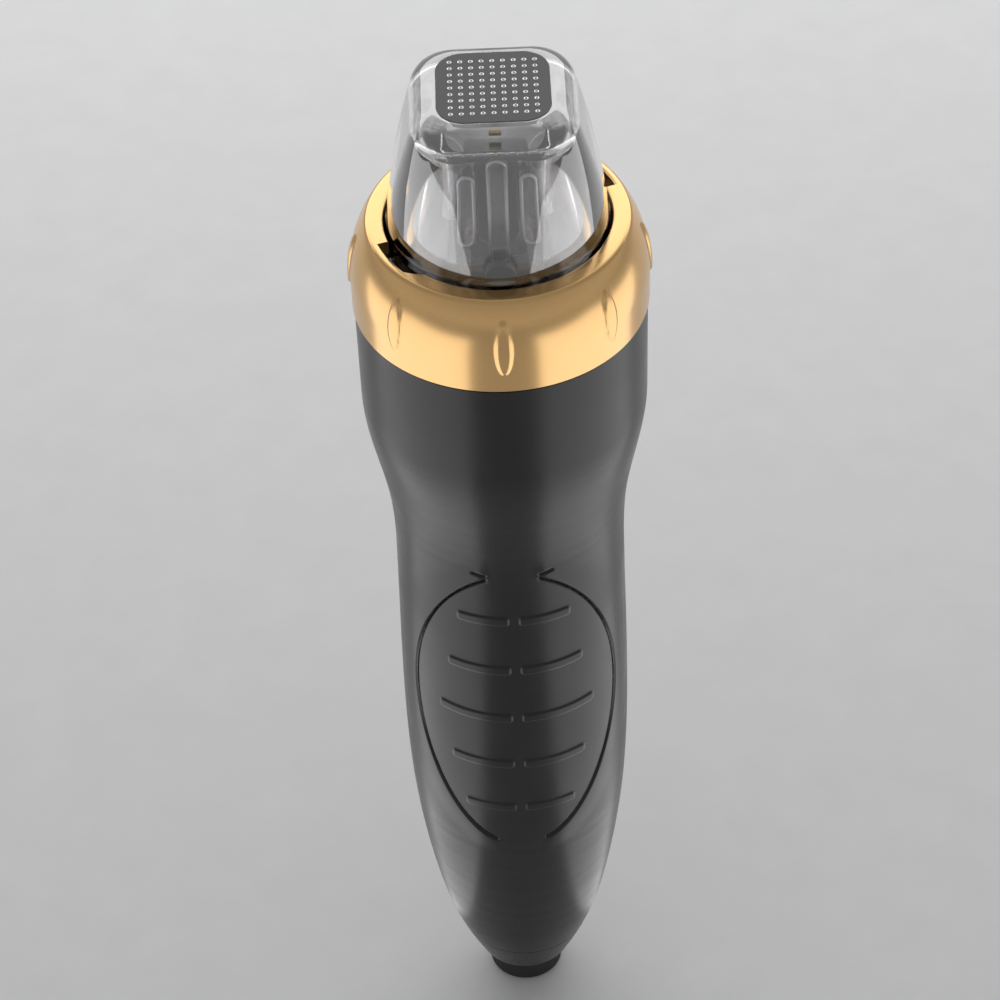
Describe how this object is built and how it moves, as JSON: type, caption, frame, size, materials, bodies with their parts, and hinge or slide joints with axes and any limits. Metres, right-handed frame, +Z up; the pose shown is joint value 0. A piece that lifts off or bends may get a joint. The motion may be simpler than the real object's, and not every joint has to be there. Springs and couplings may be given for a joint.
{
  "type": "microneedle radio frequency handle",
  "caption": "Upright black hand grip with raised bars, a gold bayonet ring and a clear cartridge dome over a square needle field.",
  "frame": {"origin": "on the handle's axis at the foot of the cable gland", "axes": "+Z up the axis to the needles; -Y to the side with the grip bars; the trigger is on +Y"},
  "size_m": [0.0446, 0.0446, 0.1981],
  "materials": {
    "body_black": "satin black moulding with a soft sheen",
    "button_black": "satin dark grey moulding",
    "screw_black": "black oxide steel",
    "gland_rubber": "matte black rubber",
    "ring_gold": "satin warm gold plate",
    "socket_black": "matte black moulding",
    "spring_steel": "plain spring steel",
    "board_green": "green circuit board",
    "contact_gold": "gold plate",
    "clear_smoke": "clear, faintly smoky polycarbonate",
    "clear_rail": "clear polycarbonate",
    "base_smoke": "smoky polycarbonate",
    "plate_grey": "dark grey moulding",
    "stem_dark": "dark moulding",
    "needle_steel": "bright steel",
    "plate_aluminium": "machined aluminium",
    "bush_brass": "turned brass",
    "motor_metal": "drawn steel can",
    "chip_black": "black epoxy",
    "plug_cream": "cream moulding",
    "lead_red": "red silicone sleeve"
  },
  "bodies": {
    "handle": {"front_shell": "body_black", "rear_shell": "body_black", "shell_screws": "screw_black", "tail_cap": "body_black", "cable_gland": "gland_rubber", "nose_socket": "socket_black", "socket_oring": "gland_rubber", "rod_seal": "gland_rubber", "ring_retainer": "spring_steel", "contact_board": "board_green", "contact_pins": "contact_gold", "top_plate": "plate_aluminium", "base_plate": "plate_aluminium", "guide_rods": "needle_steel", "rod_bushing": "bush_brass", "screw_bearing": "bush_brass", "motor_body": "motor_metal", "motor_cap": "stem_dark", "cradle": "socket_black", "drive_screws": "spring_steel", "main_board": "board_green", "board_chips": "chip_black", "board_plug": "plug_cream", "inner_cable": "gland_rubber", "rf_leads": "lead_red", "switch_bracket": "spring_steel", "switch_board": "board_green", "tact_switch": "chip_black", "home_sensor": "chip_black"},
    "ring": {"lock_ring": "ring_gold"},
    "cartridge": {"cartridge_shell": "clear_smoke", "face_plate": "plate_grey", "contact_strip": "contact_gold", "alignment_key": "stem_dark", "cartridge_base": "base_smoke", "cartridge_contacts": "contact_gold", "guide_posts": "needle_steel", "guide_rails": "clear_rail", "cartridge_spring": "spring_steel"},
    "needle_unit": {"needle_carrier": "stem_dark", "carrier_sleeves": "clear_rail", "needles": "needle_steel"},
    "pusher": {"push_carriage": "plate_aluminium"},
    "screw": {"lead_screw": "needle_steel"},
    "trigger": {"trigger_button": "button_black"}
  },
  "joints": [
    {"name": "ring_turn", "type": "hinge", "parent": "handle", "child": "ring", "pos_m": [0, 0, 0.168], "axis": [0, 0, 1], "range_deg": [0, 35]},
    {"name": "cartridge_lift", "type": "slide", "parent": "handle", "child": "cartridge", "axis": [0, 0, 1], "range_m": [0, 0.03]},
    {"name": "motor_spin", "type": "hinge", "parent": "handle", "child": "screw", "pos_m": [0, 0, 0.12], "axis": [0, 0, -1], "range_deg": [-54, 270]},
    {"name": "pusher_travel", "type": "slide", "parent": "handle", "child": "pusher", "axis": [0, 0, 1], "range_m": [-0.0006, 0.003]},
    {"name": "needle_travel", "type": "slide", "parent": "cartridge", "child": "needle_unit", "axis": [0, 0, 1], "range_m": [-0.0006, 0.003], "deforming": ["cartridge_spring"]},
    {"name": "trigger_press", "type": "slide", "parent": "handle", "child": "trigger", "axis": [0, -1, 0], "range_m": [0, 0.001], "stiffness_N_per_m": 300}
  ],
  "couplings": [
    {"joint": "motor_spin", "follows": "pusher_travel", "rad_per_m": 1570.8},
    {"joint": "needle_travel", "follows": "pusher_travel", "ratio": 1}
  ]
}
